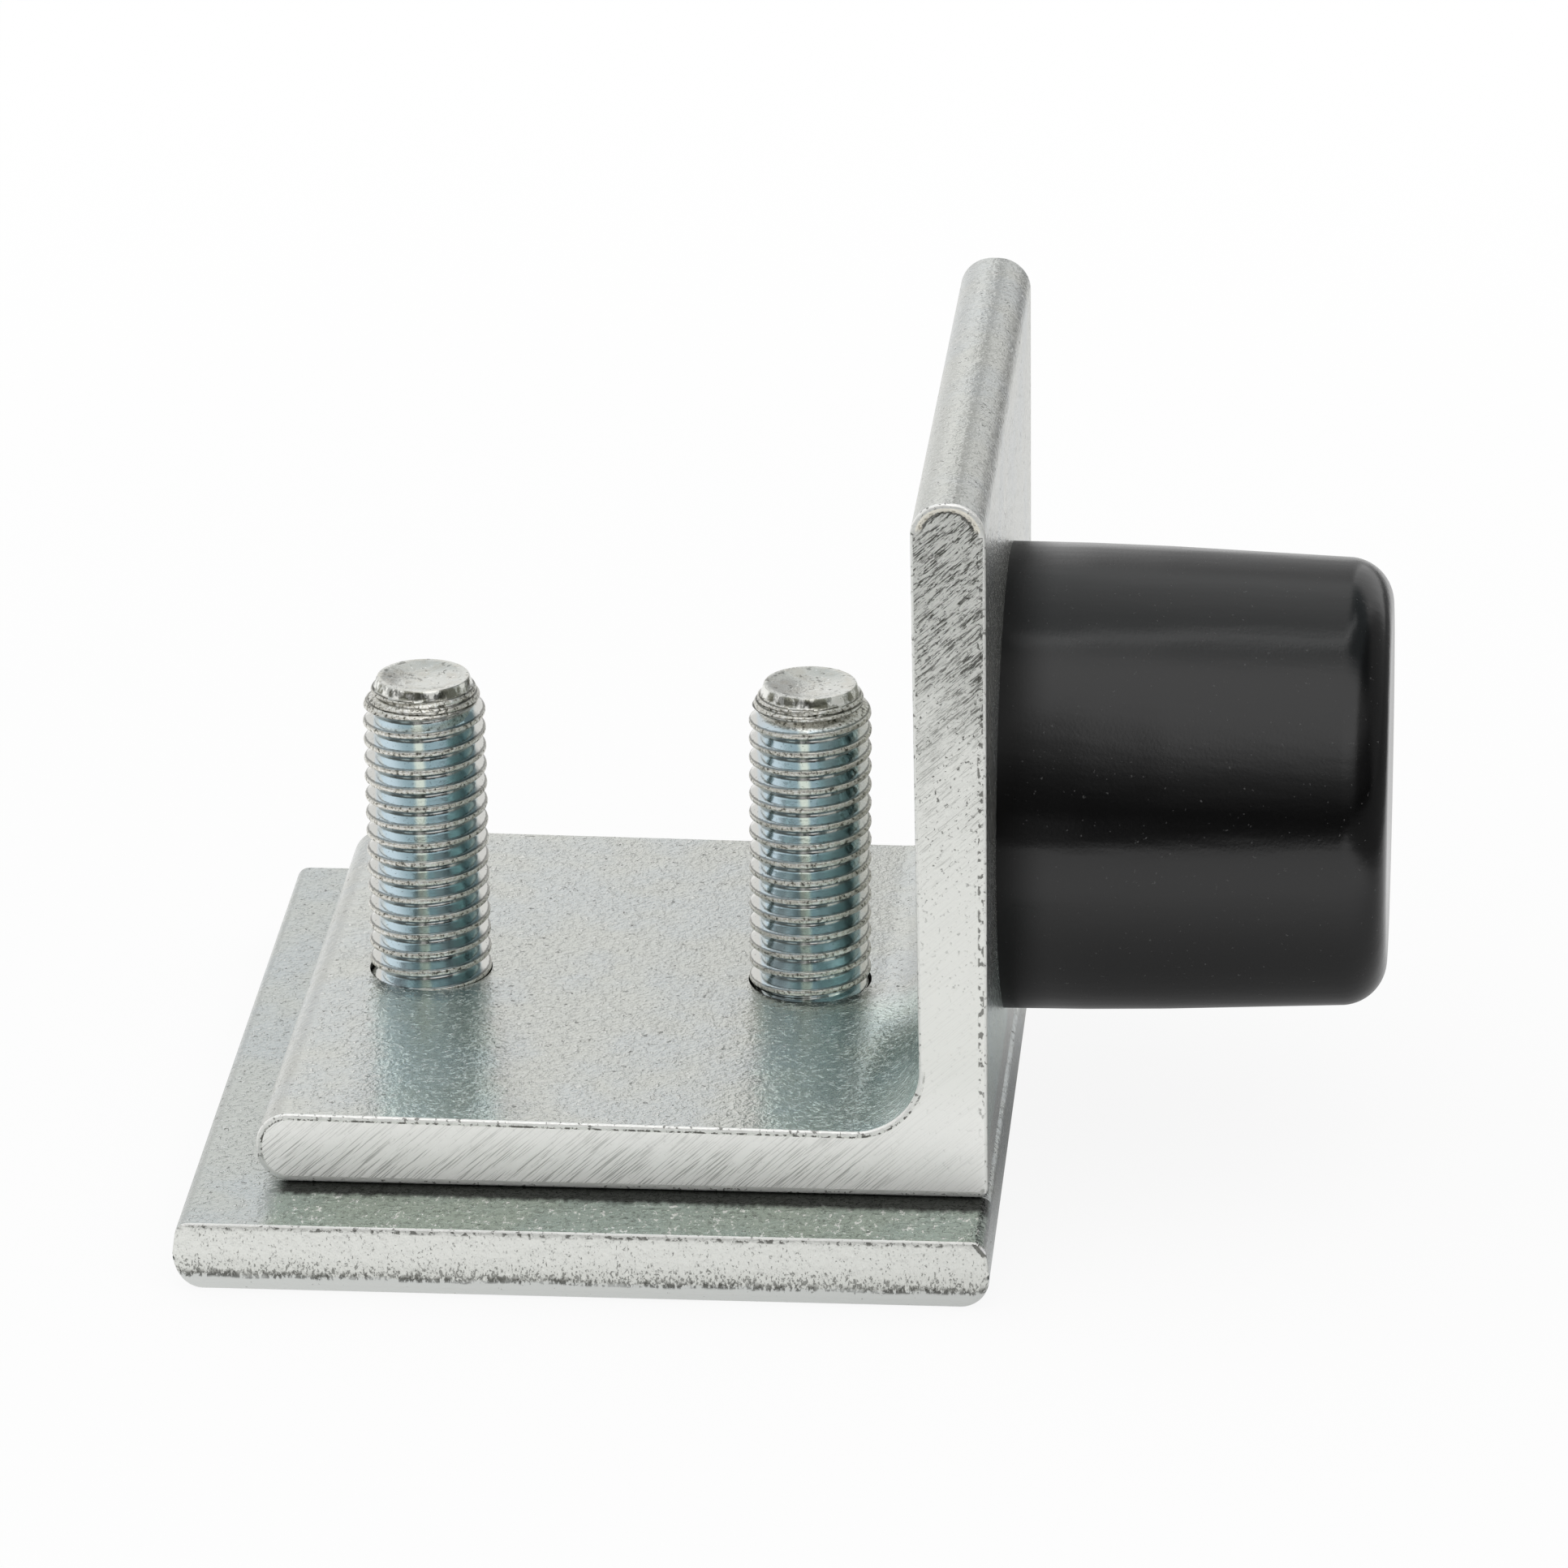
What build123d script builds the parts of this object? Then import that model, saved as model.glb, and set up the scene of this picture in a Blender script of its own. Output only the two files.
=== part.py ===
from build123d import *
import math
import os

# Clamp-on end stop for a sliding gate rail, in millimetres.
# A short piece of hot-rolled equal angle sits on a sheared base plate, over two
# threaded studs that stand in the plate. A round rubber buffer is screwed to the
# outer face of the upright leg.
# Origin: middle of the base plate's underside. +Z is up, +X is the way the buffer
# points, -Y is the side that the view looks at.

# Base plate: flat bar with rolled edges at both sides, sheared to length.
plate_width = 50.3        # along X, over the rolled edges
plate_length = 58.0       # along Y, between the sheared faces
plate_thickness = 4.6
rolled_edge_bulge = 0.35  # how far the rolled edge swells at mid thickness
rolled_edge_radius = 0.7
shear_rollover = 1.0      # rounded lower edge of each sheared face
shear_slope = 0.12        # how far the fracture leans in towards the burr edge
corner_radius = 0.8       # plate's corners seen from above

# Angle section: the legs grow a little thicker towards their rounded toes.
leg_height = 45.3         # upright leg, over the heel
foot_width = 45.3         # lying leg, over the heel
root_thickness = 4.15
toe_thickness = 4.55
root_radius = 4.2
toe_radius = 2.1
heel_radius = 0.6
angle_length = 47.1       # sawn length, along Y
cut_edge_break = 0.35     # bevel that takes the burr off the sawn ends
heel_inset = 0.1          # upright face behind the plate's rolled edge
angle_shift = 1.25        # middle of the angle behind the plate's middle

# Studs: a plain shank in the plate and the foot, and a thread from the foot's top up.
stud_diameter = 7.8       # over the crests of an M8 thread
stud_shank_diameter = 7.1  # the size that the thread is rolled on
thread_start_gap = 0.05   # first full crest above the foot's thicker end
thread_run_out = 0.5
stud_pitch = 24.4         # between the two axes, along X
stud_line = 1.7           # stud axes behind the plate's middle
stud_rise = 24.5          # above the plate's top face
stud_lead = 1.9           # length of the tapered lead
stud_end_diameter = 5.75  # flat end inside the lead
stud_dish_diameter = 4.7
stud_dish_depth = 0.35
stud_clearance = 0.2      # radial, in the foot's holes

# Buffer and what holds it
buffer_diameter = 29.55   # at the leg's face
buffer_end_diameter = 28.05  # where the taper would meet the end face
buffer_belly = 0.14       # swell of the side past a straight taper
buffer_length = 24.0
buffer_edge_radius = 2.9
buffer_rise = 18.55       # axis above the plate's top face
insert_flange_diameter = 18.0
insert_flange_thickness = 1.5
insert_boss_diameter = 10.0
insert_length = 13.0
screw_diameter = 6.0
screw_head_diameter = 11.5
screw_head_angle = 90
screw_hole_clearance = 0.3  # radial, in the leg
screw_reach = 10.5        # from the leg's outer face into the insert
socket_size = 4.0         # hexagon across the flats
socket_depth = 2.0

# Derived places
plate_top = plate_thickness
heel_x = plate_width / 2 - heel_inset
stud_radius = stud_diameter / 2
shank_radius = stud_shank_diameter / 2
screw_radius = screw_diameter / 2
foot_hole_radius = stud_radius + stud_clearance
stud_top = plate_top + stud_rise
leg_top = plate_top + leg_height
foot_toe_x = heel_x - foot_width
buffer_z = plate_top + buffer_rise
stud_xs = (-stud_pitch / 2, stud_pitch / 2)

os.makedirs("parts", exist_ok=True)

# Base plate: the meeting of three outlines. Seen from the front it is the bar's rolled
# section, from the side it has the sheared faces, and from above its corners are round.
half_width = plate_width / 2
half_length = plate_length / 2
flat_half_width = half_width - rolled_edge_bulge
with BuildPart() as base_plate:
    with BuildSketch(Plane.XZ) as bar_section:
        with BuildLine():
            Line((-flat_half_width, 0), (flat_half_width, 0))
            ThreePointArc(
                (flat_half_width, 0),
                (half_width, plate_top / 2),
                (flat_half_width, plate_top),
            )
            Line((flat_half_width, plate_top), (-flat_half_width, plate_top))
            ThreePointArc(
                (-flat_half_width, plate_top),
                (-half_width, plate_top / 2),
                (-flat_half_width, 0),
            )
        make_face()
        fillet(bar_section.vertices(), rolled_edge_radius)
    extrude(amount=half_length, both=True)
    with BuildSketch(Plane.YZ) as sheared_section:
        with BuildLine():
            Polyline(
                (half_length, 0),
                (half_length - shear_slope, plate_top),
                (-half_length + shear_slope, plate_top),
                (-half_length, 0),
                close=True,
            )
        make_face()
        fillet(sheared_section.vertices().group_by(Axis.Y)[0], shear_rollover)
    extrude(amount=plate_width, both=True, mode=Mode.INTERSECT)
    with BuildSketch():
        RectangleRounded(plate_width, plate_length, corner_radius)
    extrude(amount=plate_top, mode=Mode.INTERSECT)
    with BuildSketch():
        with Locations([(x, stud_line) for x in stud_xs]):
            Circle(shank_radius)
    extrude(amount=plate_top, mode=Mode.SUBTRACT)
base_plate.part.label = "base_plate"
export_step(base_plate.part, "parts/base_plate.step")

# Stop angle: the rolled section with its root fillet and crowned toes, sawn to length,
# then drilled through the foot for the studs and through the leg for the buffer's screw.
# The legs' inner faces lean, so the leg's thickness at the screw is worked out here.
leg_taper = (toe_thickness - root_thickness) / (leg_height - root_thickness)
leg_inner_x = heel_x - root_thickness - leg_taper * (buffer_rise - root_thickness)
with BuildPart() as stop_angle:
    with BuildSketch(Plane.XZ.offset(-angle_shift)) as rolled_section:
        with BuildLine():
            Polyline(
                (heel_x, plate_top),
                (heel_x, leg_top),
                (heel_x - toe_thickness, leg_top),
                (heel_x - root_thickness, plate_top + root_thickness),
                (foot_toe_x, plate_top + toe_thickness),
                (foot_toe_x, plate_top),
                close=True,
            )
        make_face()
        upright_toe = rolled_section.vertices().group_by(Axis.Y)[-1]
        foot_toe = rolled_section.vertices().group_by(Axis.X)[0]
        fillet(upright_toe + foot_toe, toe_radius)
        root_corner = (heel_x - root_thickness, plate_top + root_thickness)
        root = rolled_section.vertices().sort_by_distance(root_corner)[0]
        fillet(root, root_radius)
        heel = rolled_section.vertices().sort_by_distance((heel_x, plate_top))[0]
        fillet(heel, heel_radius)
    extrude(amount=angle_length / 2, both=True)
    chamfer(stop_angle.faces().filter_by(Axis.Y).edges(), cut_edge_break)
    with BuildSketch(Plane.XY.offset(plate_top)):
        with Locations([(x, stud_line) for x in stud_xs]):
            Circle(foot_hole_radius)
    extrude(amount=toe_thickness + root_radius, mode=Mode.SUBTRACT)
    with Locations(
        Plane(origin=(leg_inner_x, stud_line, buffer_z), x_dir=(0, 1, 0), z_dir=(-1, 0, 0))
    ):
        CounterSinkHole(
            radius=screw_radius + screw_hole_clearance,
            counter_sink_radius=screw_head_diameter / 2,
            depth=2 * toe_thickness,
            counter_sink_angle=screw_head_angle,
        )
stop_angle.part.label = "stop_angle"
export_step(stop_angle.part, "parts/stop_angle.step")

# Studs: one turned profile, flush under the plate, with a thinner shank up to the foot's
# top, a tapered lead and a dished end.
thread_start = plate_top + toe_thickness + thread_start_gap
dish_sphere_radius = ((stud_dish_diameter / 2) ** 2 + stud_dish_depth**2) / (2 * stud_dish_depth)
stud_plane = Plane(origin=(-stud_pitch / 2, stud_line, 0), x_dir=(1, 0, 0), z_dir=(0, -1, 0))
with BuildPart() as stud_left:
    with BuildSketch(stud_plane):
        with BuildLine():
            Polyline(
                (0, stud_top - stud_dish_depth),
                (0, 0),
                (shank_radius, 0),
                (shank_radius, thread_start - thread_run_out),
                (stud_radius, thread_start),
                (stud_radius, stud_top - stud_lead),
                (stud_end_diameter / 2, stud_top),
                (stud_dish_diameter / 2, stud_top),
            )
            CenterArc(
                center=(0, stud_top - stud_dish_depth + dish_sphere_radius),
                radius=dish_sphere_radius,
                start_angle=-90,
                arc_size=math.degrees(math.asin(stud_dish_diameter / 2 / dish_sphere_radius)),
            )
        make_face()
    revolve(axis=Axis(stud_plane.origin, (0, 0, 1)))
stud_left.part.label = "stud_left"
export_step(stud_left.part, "parts/stud_left.step")

with BuildPart() as stud_right:
    mirror(stud_left.part, about=Plane.YZ)
stud_right.part.label = "stud_right"
export_step(stud_right.part, "parts/stud_right.step")

# Everything on the buffer's axis is turned about it: local X runs out from the leg's
# face and local Y is the radius.
buffer_plane = Plane(origin=(heel_x, stud_line, buffer_z), x_dir=(1, 0, 0), z_dir=(0, -1, 0))
buffer_axis = Axis(buffer_plane.origin, (1, 0, 0))
buffer_radius = buffer_diameter / 2
buffer_end_radius = buffer_end_diameter / 2
belly_radius = (buffer_radius + buffer_end_radius) / 2 + buffer_belly

# Buffer: moulded rubber with a slight swell on its taper, a full round front edge and a
# stepped seat at the back for its threaded insert.
with BuildPart() as buffer:
    with BuildSketch(buffer_plane) as buffer_section:
        with BuildLine():
            Polyline(
                (buffer_length, buffer_end_radius),
                (buffer_length, 0),
                (insert_length, 0),
                (insert_length, insert_boss_diameter / 2),
                (insert_flange_thickness, insert_boss_diameter / 2),
                (insert_flange_thickness, insert_flange_diameter / 2),
                (0, insert_flange_diameter / 2),
                (0, buffer_radius),
            )
            ThreePointArc(
                (0, buffer_radius),
                (buffer_length / 2, belly_radius),
                (buffer_length, buffer_end_radius),
            )
        make_face()
        front_edge = buffer_section.vertices().sort_by_distance((buffer_length, buffer_end_radius))[0]
        fillet(front_edge, buffer_edge_radius)
    revolve(axis=buffer_axis)
buffer.part.label = "buffer"
export_step(buffer.part, "parts/buffer.step")

# Threaded insert moulded into the buffer's back, with a flange against the leg.
with BuildPart() as buffer_insert:
    with BuildSketch(buffer_plane):
        with BuildLine():
            Polyline(
                (0, screw_radius),
                (0, insert_flange_diameter / 2),
                (insert_flange_thickness, insert_flange_diameter / 2),
                (insert_flange_thickness, insert_boss_diameter / 2),
                (insert_length, insert_boss_diameter / 2),
                (insert_length, screw_radius),
                close=True,
            )
        make_face()
    revolve(axis=buffer_axis)
buffer_insert.part.label = "buffer_insert"
export_step(buffer_insert.part, "parts/buffer_insert.step")

# Countersunk screw: its head lies in the leg's inner face, its shank in the insert.
head_x = leg_inner_x - heel_x
cone_end_x = head_x + (screw_head_diameter - screw_diameter) / 2 / math.tan(math.radians(screw_head_angle / 2))
with BuildPart() as buffer_screw:
    with BuildSketch(buffer_plane):
        with BuildLine():
            Polyline(
                (head_x, 0),
                (head_x, screw_head_diameter / 2),
                (cone_end_x, screw_radius),
                (screw_reach, screw_radius),
                (screw_reach, 0),
                close=True,
            )
        make_face()
    revolve(axis=buffer_axis)
    with BuildSketch(Plane(origin=(leg_inner_x, stud_line, buffer_z), x_dir=(0, 1, 0), z_dir=(1, 0, 0))):
        RegularPolygon(radius=socket_size / 2, side_count=6, major_radius=False)
    extrude(amount=socket_depth, mode=Mode.SUBTRACT)
buffer_screw.part.label = "buffer_screw"
export_step(buffer_screw.part, "parts/buffer_screw.step")
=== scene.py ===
import math

import bmesh
import bpy
from bpy.props import FloatProperty, FloatVectorProperty, IntProperty, PointerProperty
from mathutils import Matrix, Vector, noise


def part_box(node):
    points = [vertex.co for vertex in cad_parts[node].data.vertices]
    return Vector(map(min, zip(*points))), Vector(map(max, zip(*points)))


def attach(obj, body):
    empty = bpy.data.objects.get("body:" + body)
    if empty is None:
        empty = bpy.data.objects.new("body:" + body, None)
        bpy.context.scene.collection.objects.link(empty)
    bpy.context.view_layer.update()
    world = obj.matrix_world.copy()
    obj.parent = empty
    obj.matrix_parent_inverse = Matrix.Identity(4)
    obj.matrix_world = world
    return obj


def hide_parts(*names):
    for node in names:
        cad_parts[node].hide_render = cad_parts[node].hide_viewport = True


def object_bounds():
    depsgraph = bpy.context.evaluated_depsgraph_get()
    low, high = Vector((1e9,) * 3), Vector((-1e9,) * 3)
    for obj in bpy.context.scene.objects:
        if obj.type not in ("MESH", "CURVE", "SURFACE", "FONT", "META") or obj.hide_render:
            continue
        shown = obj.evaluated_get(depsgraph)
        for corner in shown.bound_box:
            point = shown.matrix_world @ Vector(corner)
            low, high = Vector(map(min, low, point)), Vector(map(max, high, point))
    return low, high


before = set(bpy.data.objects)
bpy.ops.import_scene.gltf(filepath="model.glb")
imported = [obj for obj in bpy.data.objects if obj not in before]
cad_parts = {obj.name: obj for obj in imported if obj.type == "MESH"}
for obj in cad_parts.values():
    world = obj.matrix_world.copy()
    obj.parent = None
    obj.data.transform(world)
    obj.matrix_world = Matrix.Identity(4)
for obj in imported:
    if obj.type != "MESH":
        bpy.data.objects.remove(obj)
CAD_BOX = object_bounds()

bl_info = {
    "name": "Sliding Gate Stop",
    "version": (1, 0, 0),
    "blender": (4, 5, 0),
    "location": "View3D > Sidebar > Gate Stop",
    "description": "Builds a clamp-on end stop for a sliding gate rail, with its studs and rubber buffer",
    "category": "Add Mesh",
}

MM = 0.001
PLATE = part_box("base_plate")
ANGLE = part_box("stop_angle")
STUD_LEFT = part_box("stud_left")
STUD_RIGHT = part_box("stud_right")
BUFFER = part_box("buffer")
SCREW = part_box("buffer_screw")

# The camera: yaw, pitch and roll in radians, and the focal length as pixels of a photograph so wide
CAMERA_TURN = (0.0886, -0.3783, -0.0125)
CAMERA_PLACE = Vector((56.02, -508.79, 225.86)) * MM
FOCAL_IN_PIXELS = 10712.8
PHOTO_WIDTH = 1932
SENSOR = 36.0

# Distances that count as none when vertices are found or merged
TINY = 1e-7
SEAM = 2e-6

# The sawn ends' marks slant by this angle
SAW_SLANT = math.radians(42)

# More than torn_by_shear ever gives
HIGHEST_LUMP = 1.25

# The studs' thread starts this far above the angle's underside; the turn of its helix and the lean follow
# the photograph
THREAD_START = 3.4 * MM
LEFT_PHASE = math.radians(7.8)
RIGHT_PHASE = math.radians(230)
RIGHT_LEAN = math.radians(0.6)

# The band under the studs' upper rim that has the finish of their ends
END_BAND = 0.62 * MM

# Shares of a pitch from the middle of a root: where the root's flat ends and the crest's flat starts
ROOT_FLAT, CREST_FLAT = 0.04, 0.375
PROFILE_SHARES = (0.0, 0.04, 0.12, 0.21, 0.3, 0.375, 0.41, 0.46, 0.54, 0.59, 0.625, 0.7, 0.79, 0.88, 0.96)

# Millimetres below the stud's end and the largest radius there
LEAD = (
    (0.0, 2.89), (0.08, 2.96), (0.60, 3.12), (0.70, 3.28), (0.88, 3.37), (0.98, 3.28), (1.08, 3.44),
    (1.30, 3.60), (1.40, 3.51), (1.50, 3.67), (1.75, 3.82), (2.2, 3.90),
)

# Shares of the end's radius and millimetres below its rim
DISH = ((0.93, 0.0), (0.86, 0.04), (0.72, 0.14), (0.5, 0.24), (0.25, 0.31), (0.0, 0.34))

# Shares of the buffer's length from the leg and millimetres that its radius has lost there
BUFFER_TAPER = ((0.0, 0.0), (0.21, 0.035), (0.42, 0.165), (0.625, 0.375), (0.83, 0.585), (1.0, 0.76))
TAPER_RINGS = 28
EDGE_RINGS = 16


# Sizes and colours


class GateStopSizes(bpy.types.PropertyGroup):
    """Sizes that the frame's boxes don't give."""

    plate_edge_swell: FloatProperty(
        name="Rolled edge swell", default=0.35 * MM, unit="LENGTH",
        description="How far the plate's rolled side edges bulge at mid thickness",
    )
    plate_edge_radius: FloatProperty(
        name="Rolled edge radius", default=0.7 * MM, unit="LENGTH",
        description="Rounding where the plate's side edges meet its faces",
    )
    plate_lower_radius: FloatProperty(
        name="Lower edge radius", default=1.45 * MM, unit="LENGTH",
        description="Rounding where the plate's side edges meet its lower face",
    )
    plate_slip: FloatProperty(
        name="Plate slip", default=0.45 * MM, unit="LENGTH",
        description="How far the plate sits out of square at its front end",
    )
    shear_rollover: FloatProperty(
        name="Shear rollover", default=1.0 * MM, unit="LENGTH",
        description="Rounded lower edge that the shear leaves on the plate's cut faces",
    )
    leg_thickness_root: FloatProperty(
        name="Leg thickness at root", default=4.15 * MM, unit="LENGTH",
        description="Thickness of the angle's legs beside the root fillet",
    )
    leg_thickness_toe: FloatProperty(
        name="Leg thickness at toe", default=4.55 * MM, unit="LENGTH",
        description="Thickness of the angle's legs beside the rounded toes",
    )
    root_radius: FloatProperty(
        name="Root radius", default=4.2 * MM, unit="LENGTH",
        description="Fillet inside the angle",
    )
    toe_radius: FloatProperty(
        name="Toe radius", default=2.1 * MM, unit="LENGTH",
        description="Rounding of the legs' free edges",
    )
    heel_radius: FloatProperty(
        name="Heel radius", default=0.6 * MM, unit="LENGTH",
        description="Rounding of the angle's outer corner",
    )
    cut_break: FloatProperty(
        name="Cut edge bevel", default=0.17 * MM, unit="LENGTH",
        description="Bevel on the edges of the angle's sawn ends",
    )
    rim_width: FloatProperty(
        name="Cut rim width", default=0.10 * MM, unit="LENGTH",
        description="Bright rim inside the edges of the angle's sawn ends",
    )
    burr_width: FloatProperty(
        name="Burr width", default=0.12 * MM, unit="LENGTH",
        description="Folded burr inside the bright rim, and on the plate's upper sheared edges",
    )
    relief_step: FloatProperty(
        name="Relief grid", default=0.25 * MM, unit="LENGTH",
        description="Grid that the sawn and sheared faces are cut into",
    )
    saw_relief: FloatProperty(
        name="Saw relief", default=0.07 * MM, unit="LENGTH",
        description="Height of the torn saw marks",
    )
    fracture_relief: FloatProperty(
        name="Fracture relief", default=0.05 * MM, unit="LENGTH",
        description="Height of the sheared faces' lumps",
    )
    foot_hole_radius: FloatProperty(
        name="Foot hole radius", default=3.94 * MM, unit="LENGTH",
        description="Clearance holes for the studs in the angle's foot",
    )
    screw_hole_radius: FloatProperty(
        name="Screw hole radius", default=3.3 * MM, unit="LENGTH",
        description="Hole for the buffer's screw in the upright leg",
    )
    screw_head_radius: FloatProperty(
        name="Screw head radius", default=5.75 * MM, unit="LENGTH",
        description="Countersink mouth in the upright leg's inner face",
    )
    thread_pitch: FloatProperty(
        name="Thread pitch", default=1.25 * MM, unit="LENGTH",
        description="Distance between two crests of the studs' thread",
    )
    thread_depth: FloatProperty(
        name="Thread depth", default=0.76 * MM, unit="LENGTH",
        description="Crest to root of the studs' thread",
    )
    shank_radius: FloatProperty(
        name="Shank radius", default=3.55 * MM, unit="LENGTH",
        description="Plain shank of the studs below the thread",
    )
    buffer_edge_radius: FloatProperty(
        name="Buffer edge radius", default=2.9 * MM, unit="LENGTH",
        description="Rounding at the buffer's front edge",
    )
    round_steps: IntProperty(
        name="Steps round", default=96, min=24, max=256,
        description="Facets round the studs and the buffer",
    )


class GateStopColours(bpy.types.PropertyGroup):
    """Colours of the finishes."""

    zinc: FloatVectorProperty(
        name="Zinc", default=(0.685, 0.695, 0.65, 1), subtype="COLOR", size=4, min=0, max=1,
        description="Plated rolled skin",
    )
    zinc_blue: FloatVectorProperty(
        name="Blue passivation", default=(0.655, 0.69, 0.695, 1), subtype="COLOR", size=4, min=0, max=1,
        description="Skin where the plating has a bluish cast",
    )
    zinc_light: FloatVectorProperty(
        name="Light zinc", default=(0.75, 0.76, 0.72, 1), subtype="COLOR", size=4, min=0, max=1,
        description="Grain of the plating",
    )
    zinc_white: FloatVectorProperty(
        name="Burnished zinc", default=(0.92, 0.92, 0.89, 1), subtype="COLOR", size=4, min=0, max=1,
        description="Rubbed rims and bright specks",
    )
    # Also used for painted shade: in saw-mark grooves, under folded burrs, beside thread crests, in the
    # lead's rings and in the plate's notch
    zinc_dark: FloatVectorProperty(
        name="Dark zinc", default=(0.06, 0.06, 0.048, 1), subtype="COLOR", size=4, min=0, max=1,
        description="Pits, torn metal and the bottoms of saw marks",
    )
    cut_zinc: FloatVectorProperty(
        name="Cut zinc", default=(0.86, 0.87, 0.83, 1), subtype="COLOR", size=4, min=0, max=1,
        description="Plating on sawn and sheared faces",
    )
    stud_zinc: FloatVectorProperty(
        name="Thread flanks", default=(0.52, 0.615, 0.645, 1), subtype="COLOR", size=4, min=0, max=1,
        description="Plating on the flanks of the studs' thread",
    )
    crest: FloatVectorProperty(
        name="Thread crests", default=(0.70, 0.685, 0.62, 1), subtype="COLOR", size=4, min=0, max=1,
        description="Rubbed crests and ends of the studs",
    )
    # Painted shadow in the corner in front of the angle
    painted_crevice_shade: FloatVectorProperty(
        name="Crevice", default=(0.008, 0.010, 0.006, 1), subtype="COLOR", size=4, min=0, max=1,
        description="Painted shadow in the corner in front of the angle",
    )
    rubber: FloatVectorProperty(
        name="Rubber", default=(0.0022, 0.0022, 0.0023, 1), subtype="COLOR", size=4, min=0, max=1,
        description="Moulded black rubber",
    )
    dust: FloatVectorProperty(
        name="Dust", default=(0.12, 0.12, 0.12, 1), subtype="COLOR", size=4, min=0, max=1,
        description="Fine dust on the rubber",
    )
    floor: FloatVectorProperty(
        name="Floor", default=(0.9, 0.9, 0.9, 1), subtype="COLOR", size=4, min=0, max=1,
        description="Studio floor",
    )


def sizes():
    """The sizes set on the scene."""
    return bpy.context.scene.gate_stop_sizes


def colours():
    """The colours set on the scene."""
    return bpy.context.scene.gate_stop_colours


# Shader maths


def joined(operation):
    """An operator of Link, with the link first and with the link second."""
    return (
        lambda link, other: link._join(operation, link, other),
        lambda link, other: link._join(operation, other, link),
    )


class Link:
    """One output of a node. Arithmetic on links adds the nodes that work it out."""

    def __init__(self, shade, socket):
        self.shade = shade
        self.socket = socket

    def is_colour(self):
        return self.socket.type == "RGBA"

    def is_vector(self):
        return self.socket.type == "VECTOR"

    def _join(self, operation, a, b):
        """Colours, vectors and numbers each have their own node; a plain number fits any of them."""
        both = (a, b)
        if any(isinstance(v, Link) and v.is_colour() for v in both):
            a, b = [(v, v, v, 1) if isinstance(v, (int, float)) else v for v in both]
            return self.shade.node(
                "ShaderNodeMix",
                {"data_type": "RGBA", "blend_type": operation},
                {"Factor": 1.0, "A": a, "B": b},
            )["Result"]
        if any(isinstance(v, Link) and v.is_vector() for v in both):
            a, b = [(v, v, v) if isinstance(v, (int, float)) else v for v in both]
            return self.shade.node("ShaderNodeVectorMath", {"operation": operation}, {0: a, 1: b})[0]
        return self.shade.maths(operation, a, b)

    __add__, __radd__ = joined("ADD")
    __sub__, __rsub__ = joined("SUBTRACT")
    __mul__, __rmul__ = joined("MULTIPLY")
    __truediv__, __rtruediv__ = joined("DIVIDE")

    def __pow__(self, other):
        return self.shade.maths("POWER", self, other)

    def absolute(self):
        return self.shade.maths("ABSOLUTE", self)

    def lowest(self, other):
        return self.shade.maths("MINIMUM", self, other)

    def highest(self, other):
        return self.shade.maths("MAXIMUM", self, other)

    def fraction(self):
        """What is left above the whole number below."""
        return self.shade.maths("FRACT", self)

    def step(self, low, high):
        """0 below low, 1 above high and smooth between them."""
        return self.shade.node(
            "ShaderNodeMapRange",
            {"interpolation_type": "SMOOTHSTEP"},
            {"Value": self, "From Min": low, "From Max": high},
        )["Result"]

    def axes(self):
        parts = self.shade.node("ShaderNodeSeparateXYZ", {}, {"Vector": self})
        return parts["X"], parts["Y"], parts["Z"]


class NodeOut:
    """The outputs of one node, by name or by place."""

    def __init__(self, shade, node):
        self.shade = shade
        self.node = node

    def __getitem__(self, key):
        return Link(self.shade, pick(self.node.outputs, key))


def pick(sockets, key):
    """A socket by its place, or the shown one of that name."""
    if isinstance(key, int):
        return sockets[key]
    for socket in sockets:
        if socket.name == key and socket.enabled:
            return socket
    raise KeyError(f"no socket {key}")


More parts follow.
